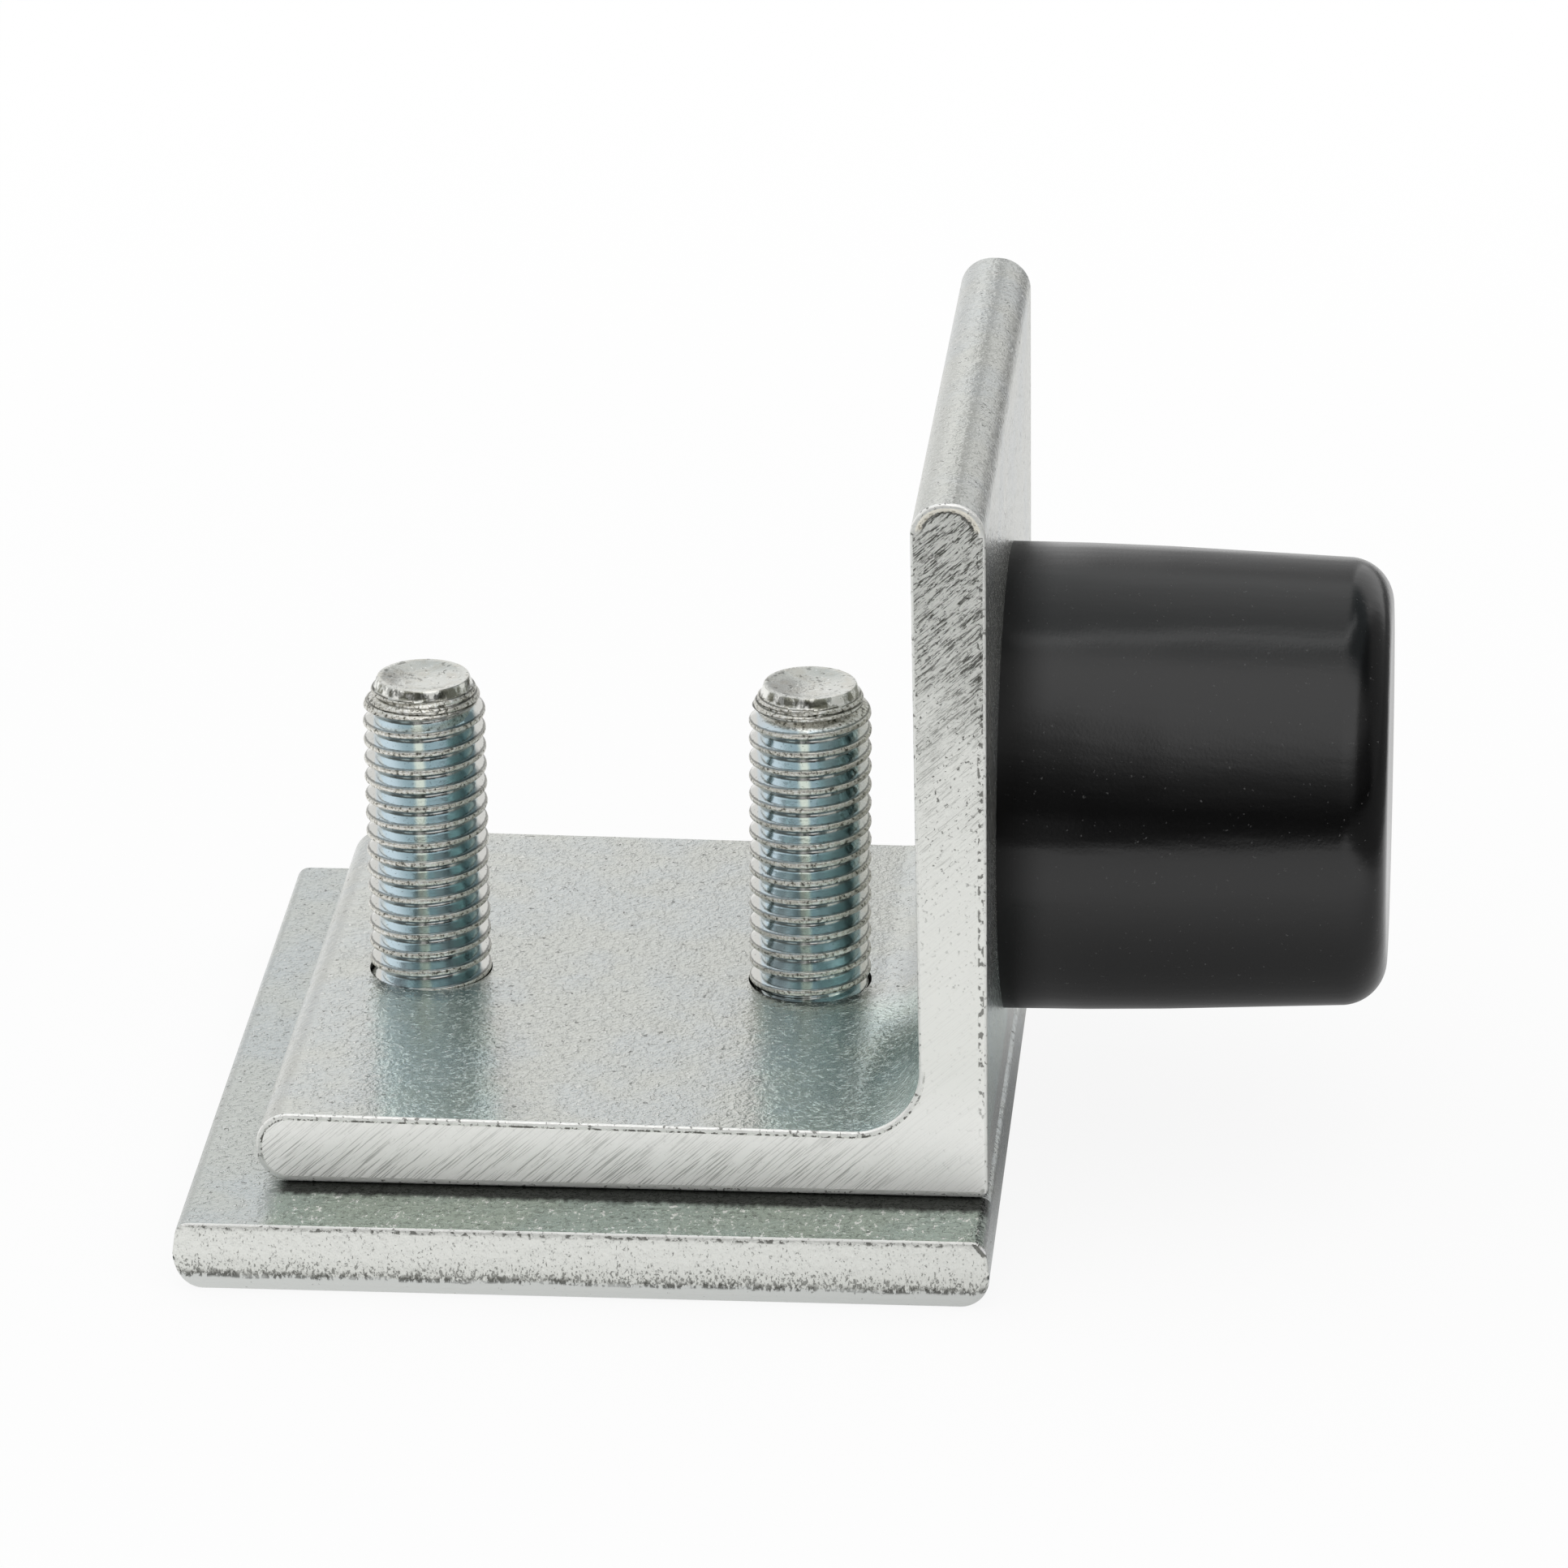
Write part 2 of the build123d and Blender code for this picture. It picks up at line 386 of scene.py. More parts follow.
class Shade:
    """A node tree being filled."""

    def __init__(self, tree):
        self.tree = tree
        tree.nodes.clear()

    def node(self, kind, settings=None, values=None):
        """Adds any node: its settings first, then the values or links of its sockets."""
        made = self.tree.nodes.new(kind)
        for key, value in (settings or {}).items():
            setattr(made, key, value)
        for key, value in (values or {}).items():
            socket = pick(made.inputs, key)
            if isinstance(value, Link):
                self.tree.links.new(value.socket, socket)
            else:
                socket.default_value = value
        return NodeOut(self, made)

    def maths(self, operation, *values):
        """One step of arithmetic on plain numbers."""
        return self.node("ShaderNodeMath", {"operation": operation}, dict(enumerate(values)))[0]

    def place(self):
        """Object coordinates in millimetres."""
        return self.node("ShaderNodeTexCoord")["Object"] * (1.0 / MM)

    def facing(self):
        """The face's direction on the piece."""
        return self.node("ShaderNodeTexCoord")["Normal"].axes()

    def noise(self, where, scale, detail=3.0, roughness=0.6, distortion=0.0):
        """Soft noise round 0.5; scale is in waves for each millimetre."""
        values = {"Vector": where, "Scale": scale, "Detail": detail}
        values.update({"Roughness": roughness, "Distortion": distortion})
        return self.node("ShaderNodeTexNoise", {"noise_dimensions": "3D"}, values)[0]

    def stretch(self, where, turn, scale):
        """The same places, turned first and then scaled along the new axes."""
        turned = self.node("ShaderNodeMapping", {}, {"Vector": where, "Rotation": turn})[0]
        return self.node("ShaderNodeMapping", {}, {"Vector": turned, "Scale": scale})[0]

    def mix(self, factor, a, b):
        """Goes from a to b, as numbers or as colours."""
        plain = not any((isinstance(v, Link) and v.is_colour()) or isinstance(v, tuple) for v in (a, b))
        return self.node(
            "ShaderNodeMix",
            {"data_type": "FLOAT" if plain else "RGBA"},
            {"Factor": factor, "A": a, "B": b},
        )["Result"]

    def layered(self, base, *layers):
        """A colour with others laid over it, each by its share. A text names one of the scene's colours."""
        for share, over in layers:
            base = self.mix(share, base, colour(over) if isinstance(over, str) else over)
        return base

    def bump(self, height, distance):
        """Tilts the shading by a height of 0 to 1 that stands for a real distance."""
        values = {"Height": height, "Distance": distance, "Strength": 1.0}
        return self.node("ShaderNodeBump", {}, values)["Normal"]

    def surface(self, base, metallic, roughness, normal):
        """The finish itself, joined to the material's output."""
        shader = self.node(
            "ShaderNodeBsdfPrincipled",
            {},
            {"Base Color": base, "Metallic": metallic, "Roughness": roughness, "Normal": normal},
        )[0]
        self.node("ShaderNodeOutputMaterial", {}, {"Surface": shader})

    def grey(self, value):
        """A colour of equal red, green and blue."""
        return self.node(
            "ShaderNodeCombineColor", {"mode": "RGB"}, {"Red": value, "Green": value, "Blue": value}
        )[0]


def new_material(name):
    """A material with an empty node tree."""
    material = bpy.data.materials.new(name)
    material.use_nodes = True
    return material, Shade(material.node_tree)


def colour(name):
    """One of the scene's colours, in a form that a socket takes."""
    return tuple(getattr(colours(), name))


# Finishes


def worms(shade, where):
    """Plating grain on a rolled skin: short curled ridges, grain, pits and bright specks."""
    bent = where + shade.noise(where, 1.3, 2.0, 0.5) * 1.2
    ridges = shade.noise(bent, 2.6, 2.0, 0.5)
    grain = shade.noise(where, 6.0, 2.0, 0.6)
    pits = shade.noise(where + (4.0, 9.0, 2.0), 2.6, 2.0, 0.5).step(0.32, 0.27)
    specks = shade.noise(where + (31.0, 7.0, 3.0), 3.6, 2.0, 0.5).step(0.65, 0.70)
    return ridges, grain, pits, specks


def rolled_zinc(name, front=None, painted_reflection=None):
    """Plated hot-rolled skin: the flat faces of the angle and of the plate. front gives the
    painted contact shadow and the spattered strip in front of the angle, the strip with a painted
    reflection of the sawn front; the last argument gives where a lighter bluish green reflection of the studs
    is painted."""
    material, shade = new_material(name)
    where = shade.place()
    cloud = shade.noise(where, 0.12)
    ridges, grain, pits, specks = worms(shade, where)
    curls = ridges.step(0.58, 0.66)
    base = shade.mix(cloud.step(0.42, 0.62) * 0.8, colour("zinc"), colour("zinc_blue"))
    base = shade.mix((ridges * 0.5 + grain * 0.5).step(0.38, 0.62) * 0.45, base * 0.92, colour("zinc_light"))
    base = shade.layered(
        base,
        (curls * 0.35, "zinc_white"),
        (pits * 0.55, "zinc_dark"),
        (specks * 0.7, "zinc_white"),
    )
    height = ridges * 0.7 + curls * 0.5 + grain * 0.15 - pits * 0.8 + specks * 0.5 + cloud * 0.8
    if painted_reflection is not None:
        # painted reflection of the studs: the skin lighter and bluish green there
        base = shade.mix(painted_reflection(shade, where) * 0.8, base, base * (1.20, 1.36, 1.37, 1))
    if front is not None:
        painted_contact_shadow, strip = front(shade, where)
        spatter = shade.noise(where * (0.9, 0.45, 1.0), 3.4, 3.0, 0.68)
        base = base * (0.87, 0.89, 0.90, 1)
        # the strip in front of the angle painted darker and greener: a painted reflection of the sawn front
        base = shade.mix(strip * 0.85, base, base * (0.80, 0.90, 0.80, 1))
        base = shade.layered(
            base,
            (spatter.step(0.45, 0.35) * strip * 0.35, "zinc_dark"),
            (spatter.step(0.59, 0.65) * strip, (1, 1, 0.97, 1)),
            # painted contact shadow where the plate meets the angle's sawn front
            (painted_contact_shadow, "painted_crevice_shade"),
        )
        height = height + spatter * strip * 1.2
    rough = 0.14 + grain * 0.10 + cloud * 0.06 + pits * 0.15
    shade.surface(base=base, metallic=0.92, roughness=rough, normal=shade.bump(height, 0.075 * MM))
    return material


def where_studs_reflect(shade, where):
    """Where a lighter bluish green reflection of the studs is painted on the foot, in front of each stud and
    along to the root.
    """
    x, y, z = where.axes()
    edge = (shade.noise(where, 0.6) - 0.5) * 1.6
    ahead = 1.0 - (y + edge).step(-4.0, 0.5)
    left = (x + y * 0.15 + edge - STUD_LEFT[0].x / MM - 4.0).absolute().step(4.4, 2.6)
    right = (x + y * 0.10 + edge - STUD_RIGHT[0].x / MM - 9.0).absolute().step(9.2, 7.4)
    return left.highest(right) * ahead * z.step(7.0, 8.5) * (1.0 - z.step(14.0, 20.0))


def in_front_of_angle(shade, where):
    """Painted contact shadow where the plate's top meets the angle's sawn front, and the strip before it."""
    x, y, z = where.axes()
    before = y * -1.0 + ANGLE[0].y / MM
    ragged = shade.noise(where * (1.0, 0.4, 1.0), 1.1) - 0.5
    streaks = shade.noise(where * (1.0, 0.2, 1.0), 3.6) - 0.5
    width = 1.85 + x * 0.011 + ragged * 0.8 + streaks * 0.7
    along = (x - ANGLE[0].x / MM).step(0.8, 2.0) * (1.0 - (x - ANGLE[1].x / MM).step(0.0, 0.4))
    beside = (before + 0.3).step(0.0, 0.2) * along * (z - PLATE[1].z / MM).step(-0.5, -0.2)
    # painted contact shadow: darkest against the angle, fading towards the front
    painted_contact_shadow = (1.0 - (before / width).step(0.82, 1.28)) * beside * 0.98
    return painted_contact_shadow, beside


def toe_arc(x, z):
    """Distance of a place on the sawn end from the centre of the upright leg's toe."""
    across = x - (ANGLE[1].x - sizes().leg_thickness_toe / 2) / MM
    up = (z - (ANGLE[1].z - sizes().toe_radius) / MM).highest(0.0)
    return (across * across + up * up) ** 0.5, up.step(0.15, 0.6)


def sawn_zinc(name):
    """The angle's sawn ends: slanting saw marks with painted shade in their grooves and painted highlights on
    their ridges, torn and dark towards the top toe.
    """
    material, shade = new_material(name)
    where = shade.place()
    x, y, z = where.axes()
    slant = (0, SAW_SLANT, 0)
    fine = shade.noise(shade.stretch(where, slant, (0.26, 0.5, 11.0)), 1.0, 2.0, 0.6)
    medium = shade.noise(shade.stretch(where, slant, (0.62, 0.8, 8.4)), 1.0, 4.0, 0.7, 0.15)
    torn = shade.noise(shade.stretch(where, slant, (1.0, 1.1, 7.6)), 1.0, 4.0, 0.72, 0.15)
    crumbs = shade.noise(where, 4.0, 3.0, 0.65)
    patchy = shade.noise(where, 0.35)

    heel_x = ANGLE[1].x / MM
    above = z - ANGLE[0].z / MM
    on_foot = 1.0 - x.step(heel_x - 9.0, heel_x - 3.5)
    low = 1.0 - (above / 4.2 + (patchy - 0.5) * 1.2).step(0.25, 1.0)
    foot_marks = low * (0.35 + on_foot * 0.65) * (1.0 - above.step(3.0, 6.0))
    up_leg = above + (patchy - 0.5) * 20.0
    leg_marks = up_leg.step(14.0, 42.0)
    torn_marks = up_leg.step(24.0, 40.0)
    radius, on_toe = toe_arc(x, z)
    ragged = radius + (crumbs - 0.5) * 0.5
    folded = ragged.step(1.62, 1.68) * on_toe
    # painted shade: a dark line just inside the folded lip on the toe
    fold_shade = ragged.step(1.46, 1.52) * on_toe * (1.0 - folded)

    # Saw-mark grooves painted dark: painted shade.
    groove_shade = fine.step(0.47, 0.41) * (foot_marks * 0.36 + on_foot * 0.12 + 0.04)
    groove_shade = groove_shade.highest(medium.step(0.448, 0.395) * leg_marks * 0.8)
    groove_shade = groove_shade.highest(torn.step(0.468, 0.42) * torn_marks)
    # Bright lines on the ridges: painted highlights.
    ridges = (fine.step(0.54, 0.60) * foot_marks * 0.8).highest(torn.step(0.57, 0.63) * torn_marks * 0.6)
    dots = crumbs.step(0.38, 0.32) * (0.12 + up_leg.step(10.0, 30.0) * 0.88)
    edge_dots = shade.noise(where * (1.0, 1.0, 0.7), 3.0, 2.0, 0.5).step(0.54, 0.60) * above.step(3.0, 8.0)
    dots = dots.highest(edge_dots * (x - heel_x + 0.36).absolute().step(0.22, 0.12) * 0.9)
    base = shade.mix(above.step(3.0, 9.0), (1, 1, 0.97, 1), colour("cut_zinc"))
    base = shade.layered(
        base,
        (foot_marks * 0.05, (0.33, 0.38, 0.32, 1)),
        (torn_marks * 0.12, (0.36, 0.38, 0.35, 1)),
        (groove_shade * 0.92, "zinc_dark"),
        (dots * 0.85, "zinc_dark"),
        (ridges, (0.98, 0.98, 0.95, 1)),
        (fold_shade * 0.8, "zinc_dark"),
        (folded, (0.96, 0.93, 0.83, 1)),
        (crumbs.step(0.56, 0.62) * folded * 0.8, (0.45, 0.42, 0.34, 1)),
    )
    height = fine * foot_marks * 0.22 + medium * (foot_marks * 0.15 + leg_marks * 0.6)
    height = height + torn * torn_marks * 1.3 + crumbs * 0.10 - dots * 0.3 + folded * 0.8
    shade.surface(
        base=base,
        metallic=0.25 + above.step(3.0, 9.0) * 0.1 + torn_marks * 0.3,
        roughness=0.40 + groove_shade * 0.2,
        normal=shade.bump(height, 0.15 * MM),
    )
    return material


def cut_rim_zinc(name):
    """Rim round the sawn and sheared ends, with a painted highlight where it faces up."""
    material, shade = new_material(name)
    where = shade.place()
    chips = shade.noise(where, 2.6, 3.0, 0.65)
    faces_up_highlight = shade.facing()[2].step(0.05, 0.45)
    # painted highlight: near white where the rim faces up
    base = shade.mix(faces_up_highlight, (0.78, 0.79, 0.76, 1), (1, 1, 0.97, 1))
    base = shade.mix(chips.step(0.58, 0.64) * 0.75, base, colour("zinc_dark"))
    shade.surface(
        base=base,
        metallic=0.5,
        roughness=0.30,
        normal=shade.bump(chips, 0.08 * MM),
    )
    return material


def burr_shadow_zinc(name):
    """Broken dark line of painted shade under the burr that has folded over on the sawn ends."""
    material, shade = new_material(name)
    where = shade.place()
    x, y, z = where.axes()
    chips = shade.noise(where, 2.6, 3.0, 0.7)
    heel_x = ANGLE[1].x / MM
    above = z - ANGLE[0].z / MM
    inner_side = 1.0 - x.step(heel_x - 2.6, heel_x - 1.4) * 0.6
    upper_side = above.step(1.0, 2.4) * (1.0 - above.step(5.0, 9.0) * 0.75)
    on_toe = toe_arc(x, z)[1]
    # painted shade under the folded burr, in broken dashes
    folded = chips.step(0.47, 0.54) * 0.9 * inner_side * upper_side
    base = shade.mix(folded, colour("cut_zinc"), colour("zinc_dark"))
    base = shade.mix(on_toe, base, (0.96, 0.93, 0.83, 1))
    shade.surface(base=base, metallic=0.6, roughness=0.45, normal=shade.bump(chips, 0.08 * MM))
    return material


def sheared_zinc(name):
    """The plate's sheared ends: torn zone with dark specks, a broken line and a smooth rollover."""
    material, shade = new_material(name)
    where = shade.place()
    x, y, z = where.axes()
    top = PLATE[1].z / MM
    wander = shade.noise(where * (1.0, 0.2, 0.1), 0.4) - 0.5
    level = z + wander * 0.45
    torn = level.step(1.15, 1.4)
    density = 1.0 - level.step(1.2, 3.0)
    grit = shade.noise(where * (1.0, 1.0, 0.6), 7.0, 3.0, 0.65)
    dark_specks = (grit + density * 0.12).step(0.62, 0.70) * torn
    bright_specks = grit.step(0.38, 0.31) * torn
    few = shade.noise(where, 3.4, 2.0, 0.5).step(0.70, 0.75)
    teeth = shade.noise(where * (1.0, 1.0, 0.5), 3.4, 4.0, 0.7)
    gaps = shade.noise(where, 0.45, 2.0, 0.5).step(0.40, 0.50)
    line = level.step(1.02, 1.18) * (1.0 - level.step(1.28, 1.70))
    line = line * teeth.step(0.47, 0.56) * (0.35 + gaps * 0.65)
    burr = (z - top).step(-0.42, -0.30) * shade.noise(where, 2.0, 3.0, 0.65).step(0.52, 0.60)
    across = x - PLATE[1].x / MM + 0.60 + (z - top) * 0.79
    nicked = (z - top).step(-1.05, -0.85)
    # A notch at the top corner, painted dark as painted shade, with a painted highlight along its edge.
    notch_shade = (across + (grit - 0.5) * 0.3).absolute().step(0.20, 0.10) * nicked
    notch_highlight = (across - 0.26).absolute().step(0.13, 0.06) * nicked * (z - top).step(-0.25, -0.4)
    lumps = shade.noise(where * (1.0, 1.0, 0.7), 2.4, 4.0, 0.65)
    base = shade.mix((1.0 - torn) * 0.4, colour("cut_zinc"), colour("zinc_blue")) * 0.92
    base = shade.layered(
        base,
        ((1.0 - torn) * 0.12, "zinc_dark"),
        (density * torn * 0.20, (0.40, 0.41, 0.36, 1)),
        (dark_specks * 0.62, "zinc_dark"),
        (bright_specks * 0.5, "zinc_white"),
        (few * 0.5, "zinc_dark"),
        (line.highest(burr).highest(notch_shade) * 0.78, "zinc_dark"),
        (notch_highlight, (1, 1, 1, 1)),
    )
    height = lumps * torn * 1.2 - line * 0.9 - burr * 0.5 - dark_specks * 0.3 - notch_shade * 1.5
    shade.surface(
        base=base,
        metallic=0.85,
        roughness=0.40 + line * 0.2,
        normal=shade.bump(height, 0.09 * MM),
    )
    return material


def thread_zinc(name, axis_x, axis_y, top, first_crest):
    """Rolled thread: flanks with painted reflections, a root with a painted highlight and painted shade,
    painted shadow lines beside the crests, and crests rubbed to a warm grey.
    first_crest is the height of a crest on the +X side of the stud."""
    material, shade = new_material(name)
    where = shade.place()
    x, y, z = where.axes()
    from_x = x - axis_x / MM
    from_y = y - axis_y / MM
    turn = shade.maths("ARCTAN2", from_y, from_x) / (2 * math.pi)
    pitch = sizes().thread_pitch / MM
    rise = (z - first_crest / MM) / pitch - turn + 40.5  # a crest is at half a turn above a whole number
    share = rise.fraction()
    grain = shade.noise(where, 4.4, 3.0, 0.65)
    patch = shade.noise(where, 0.8)
    wobble = share + (grain - 0.5) * 0.07
    crest = wobble.step(0.355, 0.385) * (1.0 - wobble.step(0.615, 0.645))
    # Painted shadow lines along both sides of each crest.
    crest_shadow = (wobble.step(0.30, 0.33) * (1.0 - wobble.step(0.355, 0.385))).highest(
        wobble.step(0.62, 0.65) * (1.0 - wobble.step(0.67, 0.70)))
    below = z - top / MM
    # Where the lead's ring grooves lie; further down they are painted dark as painted shade.
    rings = ((below - 0.05) / 0.37 + (grain - 0.5) * 0.4).fraction()
    in_lead = below.step(-1.7, -1.5) * (1.0 - below.step(-0.64, -0.60))
    worn = crest.highest(below.step(-2.0, -1.7))

    # Painted reflections on the flanks: lighter and bluish on the left, darker on the right, a painted
    # highlight streak near the middle and a pale painted sheen towards the silhouettes.
    around = (from_x * 0.99 + from_y * 0.11) / 3.9
    flank = shade.mix(around.step(-0.62, -0.26), (0.74, 0.82, 0.86, 1), colour("stud_zinc"))
    flank = shade.mix(around.step(0.30, 0.60), flank, (0.42, 0.54, 0.56, 1))
    highlight_streak = (around + 0.09 + (patch - 0.5) * 0.1).absolute().step(0.13, 0.04)
    flank = shade.mix(highlight_streak * 0.7, flank, (0.92, 0.94, 0.86, 1))
    silhouette_sheen = (around.absolute() + (patch - 0.5) * 0.06).step(0.78, 0.84)
    flank = shade.mix(silhouette_sheen, flank, (0.84, 0.84, 0.80, 1))
    # A painted highlight on part of the root; the rest of the root is painted dark grey as painted shade.
    root_highlight = (around - 0.15).absolute().step(0.36, 0.26) * patch.step(0.40, 0.48)
    root = (1.0 - wobble.step(0.035, 0.075)).highest(wobble.step(0.93, 0.96))
    base = shade.mix(root, flank, shade.mix(root_highlight, (0.42, 0.46, 0.45, 1), (0.97, 0.97, 0.95, 1)))
    base = shade.layered(
        base,
        (worn, "crest"),
        (grain.step(0.52, 0.58) * worn * 0.85, "zinc_white"),
        (grain.step(0.45, 0.39) * worn * 0.8, "zinc_dark"),
        (crest_shadow * 0.65, "zinc_dark"),
        (rings.step(0.30, 0.12) * in_lead * 0.75, "zinc_dark"),
        (grain.step(0.36, 0.31) * 0.5, "zinc_dark"),
    )
    shade.surface(
        base=base,
        metallic=1.0,
        roughness=0.09 + worn * 0.20 + grain * 0.05,
        normal=shade.bump(grain * (0.12 + worn * 1.5) + patch * 0.4, 0.035 * MM),
    )
    return material


def stud_end_zinc(name):
    """Ends and lead of the studs, without a thread, with painted light and dark reflection patches on the
    lead's sides.
    """
    material, shade = new_material(name)
    where = shade.place()
    ridges, grain, pits, specks = worms(shade, where)
    patch = shade.noise(where, 0.9)
    base = shade.mix(patch.step(0.45, 0.62) * 0.7, colour("zinc_light"), colour("crest")) * 0.92
    base = shade.layered(
        base,
        (specks * 0.8, "zinc_white"),
        (pits * 0.8, "zinc_dark"),
        (shade.noise(where, 2.0).step(0.58, 0.66) * 0.5, "zinc_dark"),
    )
    # Painted reflections on the lead's sides: dark patches, and bright patches that are painted highlights.
    side = 1.0 - shade.facing()[2].step(0.45, 0.75)
    reflection_patches = shade.noise(where * (1.0, 1.0, 0.5), 1.3)
    bright = reflection_patches.step(0.52, 0.57) * side
    base = shade.layered(
        base,
        (reflection_patches.step(0.50, 0.43) * side * 0.75, (0.16, 0.16, 0.11, 1)),
        (bright, (1, 1, 0.95, 1)),
    )
    shade.surface(
        base=base,
        metallic=1.0 - bright * 0.6,
        roughness=0.15 + grain * 0.10,
        normal=shade.bump(patch * 1.0 + grain * 0.3, 0.05 * MM),
    )
    return material


def moulded_rubber(name):
    """Black rubber with a satin skin, faint flow marks and fine dust, and painted shade near the leg, where a
    dull finish takes its sheen away.
    """
    material, shade = new_material(name)
    where = shade.place()
    cloud = shade.noise(where, 0.09)
    flow = shade.noise(where * (0.25, 1.0, 1.0), 0.35, 3.0, 0.5)
    grain = shade.noise(where, 5.0)
    dust = shade.noise(where, 4.0, 2.0, 0.5).step(0.70, 0.75)
    base = shade.mix(dust * 0.4, colour("rubber"), colour("dust"))
    rough = 0.135 + cloud * 0.05 + grain * 0.05 + dust * 0.2
    normal = shade.bump(flow * 0.9 + grain * 0.10, 0.05 * MM)
    shiny = {"Base Color": base, "Roughness": rough, "IOR": 1.52, "Normal": normal}
    skin = shade.node("ShaderNodeBsdfPrincipled", {}, shiny)[0]
    # Painted shade near the leg: a dull, hardly shining finish mixed in there.
    shaded_values = {"Base Color": colour("rubber"), "Roughness": 0.6, "Specular IOR Level": 0.1}
    shaded_finish = shade.node("ShaderNodeBsdfPrincipled", {}, shaded_values)[0]
    from_leg = where.axes()[0] - BUFFER[0].x / MM
    near_leg = (1.0 - from_leg.step(0.2, 3.4)) * 0.7
    both = shade.node("ShaderNodeMixShader", {}, {0: near_leg, 1: skin, 2: shaded_finish})[0]
    shade.node("ShaderNodeOutputMaterial", {}, {"Surface": both})
    return material


# Mesh helpers


def to_object(name, mesh_in_work, materials, *replaced, slot):
    """Makes a piece of a bmesh, gives it its finishes and puts it on the frame."""
    bmesh.ops.recalc_face_normals(mesh_in_work, faces=mesh_in_work.faces)
    mesh = bpy.data.meshes.new(name)
    mesh_in_work.to_mesh(mesh)
    mesh_in_work.free()
    piece = bpy.data.objects.new(name, mesh)
    bpy.context.scene.collection.objects.link(piece)
    for material in materials:
        mesh.materials.append(material)
    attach(piece, "root")
    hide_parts(*replaced)
    return piece


def soften_shading(piece, angle):
    """Smooth shading, but for edges that turn by more than the angle."""
    for polygon in piece.data.polygons:
        polygon.use_smooth = True
    piece.data.set_sharp_from_angle(angle=math.radians(angle))


def smooth(piece, angle):
    """Smooth shading that leaves flat faces flat up to their rounded edges."""
    soften_shading(piece, angle)
    weighted = piece.modifiers.new("even shading", "WEIGHTED_NORMAL")
    weighted.keep_sharp = True
    weighted.weight = 100


def chain(work, points):
    """Vertices joined one after another by edges."""
    verts = [work.verts.new(point) for point in points]
    for first, second in zip(verts, verts[1:]):
        work.edges.new((first, second))
    return verts


def spun(work, points, axis, centre, steps):
    """Turns a profile once round an axis and closes the seam and the poles."""
    chain(work, points)
    bmesh.ops.spin(
        work,
        geom=work.verts[:] + work.edges[:],
        cent=centre,
        axis=axis,
        angle=2 * math.pi,
        steps=steps,
        use_merge=True,
        use_duplicate=False,
    )
    bmesh.ops.remove_doubles(work, verts=work.verts, dist=TINY)


def near(vertex, x, z):
    """Whether a vertex lies at a place of the section."""
    return math.hypot(vertex.co.x - x, vertex.co.z - z) < SEAM


def bevel(work, parts, width, segments, affect):
    """Rounds the given vertices or edges."""
    bmesh.ops.bevel(
        work, geom=parts, offset=width, offset_type="OFFSET", segments=segments, profile=0.5,
        affect=affect, material=-1,
    )


def round_corners(work, corners, radius, segments):
    """Rounds corners of a flat section."""
    bevel(work, corners, radius, segments, "VERTICES")


def on_level(vertex, level):
    """Whether a vertex lies at a height."""
    return abs(vertex.co.z - level) < TINY


def end_edges(work, front, back):
    """Edges between a flat end face and the sides."""
    found = []
    for edge in work.edges:
        flat = [f for f in edge.link_faces if abs(f.normal.y) > 0.98]
        side = [f for f in edge.link_faces if abs(f.normal.y) < 0.3]
        if flat and side and all(min(abs(v.co.y - front), abs(v.co.y - back)) < TINY for v in edge.verts):
            found.append(edge)
    return found


def soften(work, edges, width, segments):
    """Breaks sharp edges."""
    bevel(work, edges, width, segments, "EDGES")
    work.normal_update()


def roughen(work, faces, step, depth, pattern):
    """Cuts flat end faces into a fine grid and moves its inner points along Y by a pattern."""
    for face in faces:
        level = face.calc_center_median().y
        outwards = math.copysign(1.0, face.normal.y)
        region = {face: True}
        xs = [v.co.x for v in face.verts]
        zs = [v.co.z for v in face.verts]
        for axis, low, high in ((0, min(xs), max(xs)), (2, min(zs), max(zs))):
            normal = (1, 0, 0) if axis == 0 else (0, 0, 1)
            count = int((high - low) / step)
            for index in range(1, count):
                place = low + (high - low) * index / count
                crossed = []
                for part in region:
                    reach = [v.co[axis] for v in part.verts]
                    if min(reach) < place < max(reach):
                        crossed.append(part)
                if not crossed:
                    continue
                edges = list(dict.fromkeys(e for f in crossed for e in f.edges))
                verts = list(dict.fromkeys(v for f in crossed for v in f.verts))
                at = (place, 0, 0) if axis == 0 else (0, 0, place)
                cut = bmesh.ops.bisect_plane(
                    work, geom=crossed + edges + verts, dist=TINY, plane_co=at, plane_no=normal
                )
                for part in crossed:
                    del region[part]
                region.update((part, True) for part in cut["geom"] if isinstance(part, bmesh.types.BMFace))
        inner = dict.fromkeys(v for f in region if f.is_valid for v in f.verts)
        for vertex in inner:
            if all(f in region for f in vertex.link_faces):
                vertex.co.y += outwards * depth * pattern(vertex.co.x / MM, vertex.co.z / MM, level / MM)


def torn_by_saw(x, z, level):
    """Height of the saw marks at a place on the sawn end, in millimetres, about -1 to 1."""
    along = x * math.cos(SAW_SLANT) + z * math.sin(SAW_SLANT)
    across = z * math.cos(SAW_SLANT) - x * math.sin(SAW_SLANT)
    up_leg = min(max((z - 24.0) / 18.0, 0.0), 1.0)
    torn = noise.noise(Vector((along * 0.8, level, across * 2.6)))
    ridge = 0.7 * noise.noise(Vector((along * 0.5, level, across * 1.5)))
    return up_leg * (torn + ridge) + 0.12 * noise.noise(Vector((along * 0.3, level, across * 2.4)))


